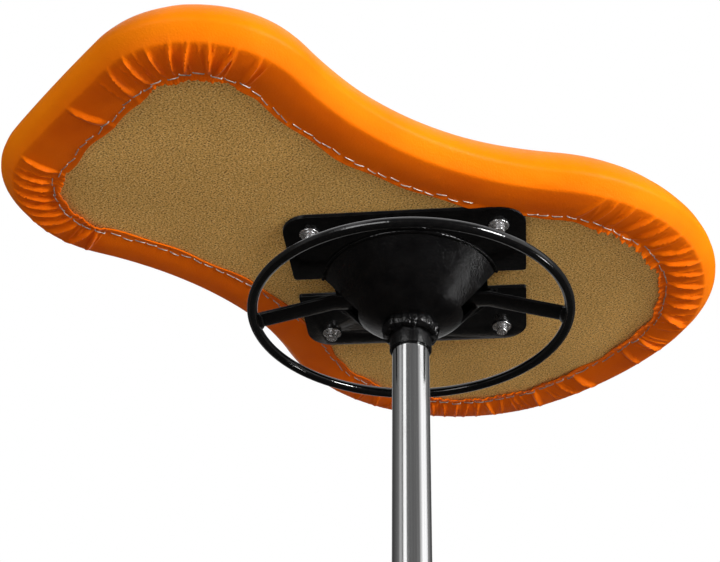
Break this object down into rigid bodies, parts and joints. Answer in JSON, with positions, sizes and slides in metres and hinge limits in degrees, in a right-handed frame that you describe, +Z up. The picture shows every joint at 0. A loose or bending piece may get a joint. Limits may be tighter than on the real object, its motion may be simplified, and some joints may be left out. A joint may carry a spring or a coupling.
{
  "type": "rolling stool",
  "caption": "Height-adjustable swivel stool: two-lobed padded seat on a plate-and-bowl mechanism with a ring lever, a gas lift column, a star base and casters.",
  "frame": {"origin": "on the floor under the column's axis", "axes": "+Z up along the column; -Y towards the seat's narrow end; +X to the right seen from there"},
  "size_m": [0.5705, 0.5632, 0.7094],
  "materials": {
    "orange_vinyl": "soft-sheen upholstery vinyl",
    "seat_foam": "open-cell upholstery foam",
    "particle_board": "raw particle board",
    "staple_wire": "galvanised wire",
    "zinc_steel": "bright zinc plate",
    "black_powder_coat": "gloss powder coat, lightly pebbled",
    "polished_tube": "ground and polished, fine lengthways grain",
    "chromed_tube": "bright chrome plate",
    "ground_steel": "ground steel",
    "alloy": "turned",
    "cage_brass": "pressed",
    "guide_plastic": "moulded acetal",
    "black_nylon": "fine spark-eroded texture",
    "wheel_nylon": "smooth moulded",
    "black_rubber": "matt"
  },
  "bodies": {
    "root": {"star_base": "black_nylon", "stand_tube": "chromed_tube", "tube_end_plate": "zinc_steel", "guide_sleeve": "guide_plastic", "lower_race": "ground_steel", "bearing_balls": "ground_steel", "ball_cage": "cage_brass"},
    "column_rod": {"piston_rod": "ground_steel", "piston": "alloy", "piston_seal": "black_rubber", "rubber_buffer": "black_rubber", "retaining_clip": "zinc_steel", "upper_race": "ground_steel"},
    "seat": {"seat_cover": "orange_vinyl", "seat_foam": "seat_foam", "seat_board": "particle_board", "cover_staples": "staple_wire", "tee_nuts": "zinc_steel", "mounting_screws": "zinc_steel", "washers": "zinc_steel", "mounting_plate": "black_powder_coat", "mechanism_bowl": "black_powder_coat", "bowl_rim_weld": "black_powder_coat", "socket_tube": "black_powder_coat", "socket_weld": "black_powder_coat", "pressure_tube": "polished_tube", "valve_body": "alloy", "rod_guide": "guide_plastic", "rod_seal": "black_rubber"},
    "lever": {"lever_ring": "black_powder_coat", "lever_bar": "black_powder_coat", "lever_welds": "black_powder_coat"},
    "release_pin": {"valve_pin": "ground_steel"},
    "caster_1": {"caster_1_housing": "black_nylon", "caster_1_stem": "ground_steel", "caster_1_axle": "ground_steel"},
    "caster_1_wheel_left_body": {"caster_1_wheel_left": "wheel_nylon"},
    "caster_1_wheel_right_body": {"caster_1_wheel_right": "wheel_nylon"},
    "caster_2": {"caster_2_housing": "black_nylon", "caster_2_stem": "ground_steel", "caster_2_axle": "ground_steel"},
    "caster_2_wheel_left_body": {"caster_2_wheel_left": "wheel_nylon"},
    "caster_2_wheel_right_body": {"caster_2_wheel_right": "wheel_nylon"},
    "caster_3": {"caster_3_housing": "black_nylon", "caster_3_stem": "ground_steel", "caster_3_axle": "ground_steel"},
    "caster_3_wheel_left_body": {"caster_3_wheel_left": "wheel_nylon"},
    "caster_3_wheel_right_body": {"caster_3_wheel_right": "wheel_nylon"},
    "caster_4": {"caster_4_housing": "black_nylon", "caster_4_stem": "ground_steel", "caster_4_axle": "ground_steel"},
    "caster_4_wheel_left_body": {"caster_4_wheel_left": "wheel_nylon"},
    "caster_4_wheel_right_body": {"caster_4_wheel_right": "wheel_nylon"},
    "caster_5": {"caster_5_housing": "black_nylon", "caster_5_stem": "ground_steel", "caster_5_axle": "ground_steel"},
    "caster_5_wheel_left_body": {"caster_5_wheel_left": "wheel_nylon"},
    "caster_5_wheel_right_body": {"caster_5_wheel_right": "wheel_nylon"}
  },
  "joints": [
    {"name": "seat_swivel", "type": "hinge", "parent": "root", "child": "column_rod", "pos_m": [0, 0, 0.3], "axis": [0, 0, 1], "continuous": true},
    {"name": "seat_height", "type": "slide", "parent": "column_rod", "child": "seat", "axis": [0, 0, 1], "range_m": [-0.19, 0]},
    {"name": "lever_lift", "type": "hinge", "parent": "seat", "child": "lever", "pos_m": [-0.03771, -0.04044, 0.6354], "axis": [-0.7314, 0.682, 0], "range_deg": [0, 3], "stiffness_Nm_per_rad": 10, "springref_deg": -2.86},
    {"name": "release_pin_slide", "type": "slide", "parent": "seat", "child": "release_pin", "axis": [0, 0, -1], "range_m": [0, 0.0031]},
    {"name": "caster_1_swivel", "type": "hinge", "parent": "root", "child": "caster_1", "pos_m": [0, -0.265, 0.0576], "axis": [0, 0, 1], "continuous": true},
    {"name": "caster_1_wheel_left_spin", "type": "hinge", "parent": "caster_1", "child": "caster_1_wheel_left_body", "pos_m": [0.01798, -0.27377, 0.025], "axis": [0.4384, 0.8988, 0], "continuous": true},
    {"name": "caster_1_wheel_right_spin", "type": "hinge", "parent": "caster_1", "child": "caster_1_wheel_right_body", "pos_m": [0.01798, -0.27377, 0.025], "axis": [0.4384, 0.8988, 0], "continuous": true},
    {"name": "caster_2_swivel", "type": "hinge", "parent": "root", "child": "caster_2", "pos_m": [0.25203, -0.08189, 0.0576], "axis": [0, 0, 1], "continuous": true},
    {"name": "caster_2_wheel_left_spin", "type": "hinge", "parent": "caster_2", "child": "caster_2_wheel_left_body", "pos_m": [0.26689, -0.09527, 0.025], "axis": [0.6691, 0.7431, 0], "continuous": true},
    {"name": "caster_2_wheel_right_spin", "type": "hinge", "parent": "caster_2", "child": "caster_2_wheel_right_body", "pos_m": [0.26689, -0.09527, 0.025], "axis": [0.6691, 0.7431, 0], "continuous": true},
    {"name": "caster_3_swivel", "type": "hinge", "parent": "root", "child": "caster_3", "pos_m": [0.15576, 0.21439, 0.0576], "axis": [0, 0, 1], "continuous": true},
    {"name": "caster_3_wheel_left_spin", "type": "hinge", "parent": "caster_3", "child": "caster_3_wheel_left_body", "pos_m": [0.17508, 0.20921, 0.025], "axis": [0.2588, 0.9659, 0], "continuous": true},
    {"name": "caster_3_wheel_right_spin", "type": "hinge", "parent": "caster_3", "child": "caster_3_wheel_right_body", "pos_m": [0.17508, 0.20921, 0.025], "axis": [0.2588, 0.9659, 0], "continuous": true},
    {"name": "caster_4_swivel", "type": "hinge", "parent": "root", "child": "caster_4", "pos_m": [-0.15576, 0.21439, 0.0576], "axis": [0, 0, 1], "continuous": true},
    {"name": "caster_4_wheel_left_spin", "type": "hinge", "parent": "caster_4", "child": "caster_4_wheel_left_body", "pos_m": [-0.14, 0.20208, 0.025], "axis": [0.6157, 0.788, 0], "continuous": true},
    {"name": "caster_4_wheel_right_spin", "type": "hinge", "parent": "caster_4", "child": "caster_4_wheel_right_body", "pos_m": [-0.14, 0.20208, 0.025], "axis": [0.6157, 0.788, 0], "continuous": true},
    {"name": "caster_5_swivel", "type": "hinge", "parent": "root", "child": "caster_5", "pos_m": [-0.25203, -0.08189, 0.0576], "axis": [0, 0, 1], "continuous": true},
    {"name": "caster_5_wheel_left_spin", "type": "hinge", "parent": "caster_5", "child": "caster_5_wheel_left_body", "pos_m": [-0.23324, -0.08873, 0.025], "axis": [0.342, 0.9397, 0], "continuous": true},
    {"name": "caster_5_wheel_right_spin", "type": "hinge", "parent": "caster_5", "child": "caster_5_wheel_right_body", "pos_m": [-0.23324, -0.08873, 0.025], "axis": [0.342, 0.9397, 0], "continuous": true}
  ],
  "couplings": [
    {"joint": "release_pin_slide", "follows": "lever_lift", "m_per_rad": 0.0553}
  ]
}
